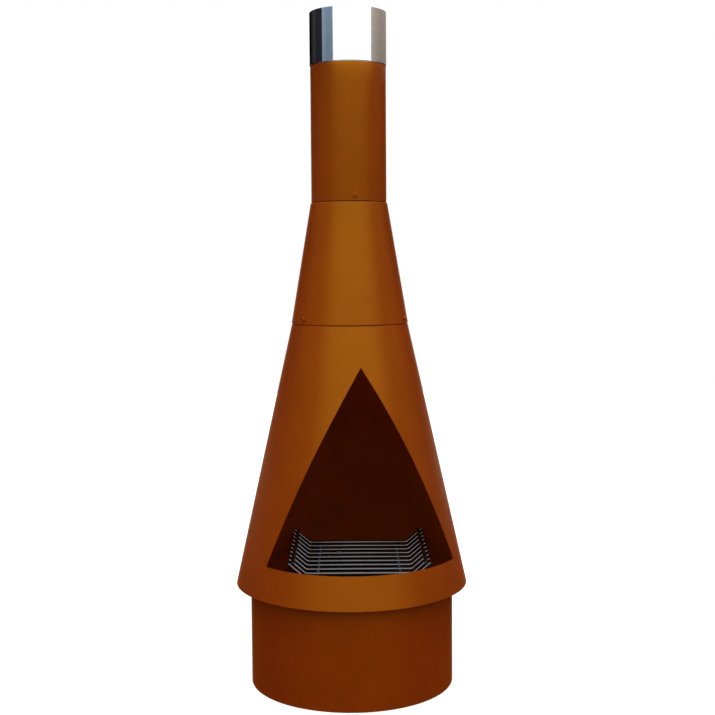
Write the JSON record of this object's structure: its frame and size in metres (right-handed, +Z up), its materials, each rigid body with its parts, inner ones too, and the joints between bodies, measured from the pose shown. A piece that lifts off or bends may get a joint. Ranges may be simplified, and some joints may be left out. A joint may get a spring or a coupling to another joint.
{
  "type": "chiminea",
  "caption": "Free-standing steel garden chiminea: drum base, conical firebox with a triangular mouth, smoke cone, flue pipe, lift-off cap and loose rod grate.",
  "frame": {"origin": "on the stove's axis, at the level of the floor that it stands on", "axes": "+Z up along the flue; -Y out of the fire mouth; +X to the right of a person facing the mouth"},
  "size_m": [0.524, 0.524, 1.5],
  "materials": {
    "rust_steel": "matt rust brown",
    "sooty_steel": "matt, smoked dark brown",
    "stainless": "polished, fine circular grain",
    "zinc": "zinc plated",
    "black_iron": "black, semi-gloss"
  },
  "bodies": {
    "stove": {"base_drum": "rust_steel", "base_foot_ring": "rust_steel", "fire_cone": "rust_steel", "fire_cone_collar": "sooty_steel", "flue_nut_1": "zinc", "flue_nut_2": "zinc", "flue_nut_3": "zinc", "flue_pipe": "rust_steel", "flue_screw_1": "rust_steel", "flue_screw_2": "rust_steel", "flue_screw_3": "rust_steel", "hearth_bolt_1": "zinc", "hearth_bolt_2": "zinc", "hearth_bolt_3": "zinc", "hearth_lug_1": "rust_steel", "hearth_lug_2": "rust_steel", "hearth_lug_3": "rust_steel", "hearth_nut_1": "zinc", "hearth_nut_2": "zinc", "hearth_nut_3": "zinc", "hearth_plate": "sooty_steel", "smoke_cone": "rust_steel", "smoke_cone_collar": "sooty_steel", "smoke_cone_nut_1": "zinc", "smoke_cone_nut_2": "zinc", "smoke_cone_nut_3": "zinc", "smoke_cone_screw_1": "rust_steel", "smoke_cone_screw_2": "rust_steel", "smoke_cone_screw_3": "rust_steel"},
    "cap": {"flue_cap": "stainless", "flue_cap_collar": "stainless"},
    "grate": {"grate_bar_01": "black_iron", "grate_bar_02": "black_iron", "grate_bar_03": "black_iron", "grate_bar_04": "black_iron", "grate_bar_05": "black_iron", "grate_bar_06": "black_iron", "grate_bar_07": "black_iron", "grate_bar_08": "black_iron", "grate_bar_09": "black_iron", "grate_bar_10": "black_iron", "grate_rail_left": "black_iron", "grate_rail_right": "black_iron", "grate_runner_left": "black_iron", "grate_runner_right": "black_iron"}
  },
  "joints": [
    {"name": "cap_lift", "type": "slide", "parent": "stove", "child": "cap", "axis": [0, 0, 1], "range_m": [0, 0.1]},
    {"name": "grate_lift", "type": "slide", "parent": "stove", "child": "grate", "axis": [-0.4276, 0.0662, 0.9015], "range_m": [0, 0.046]}
  ]
}
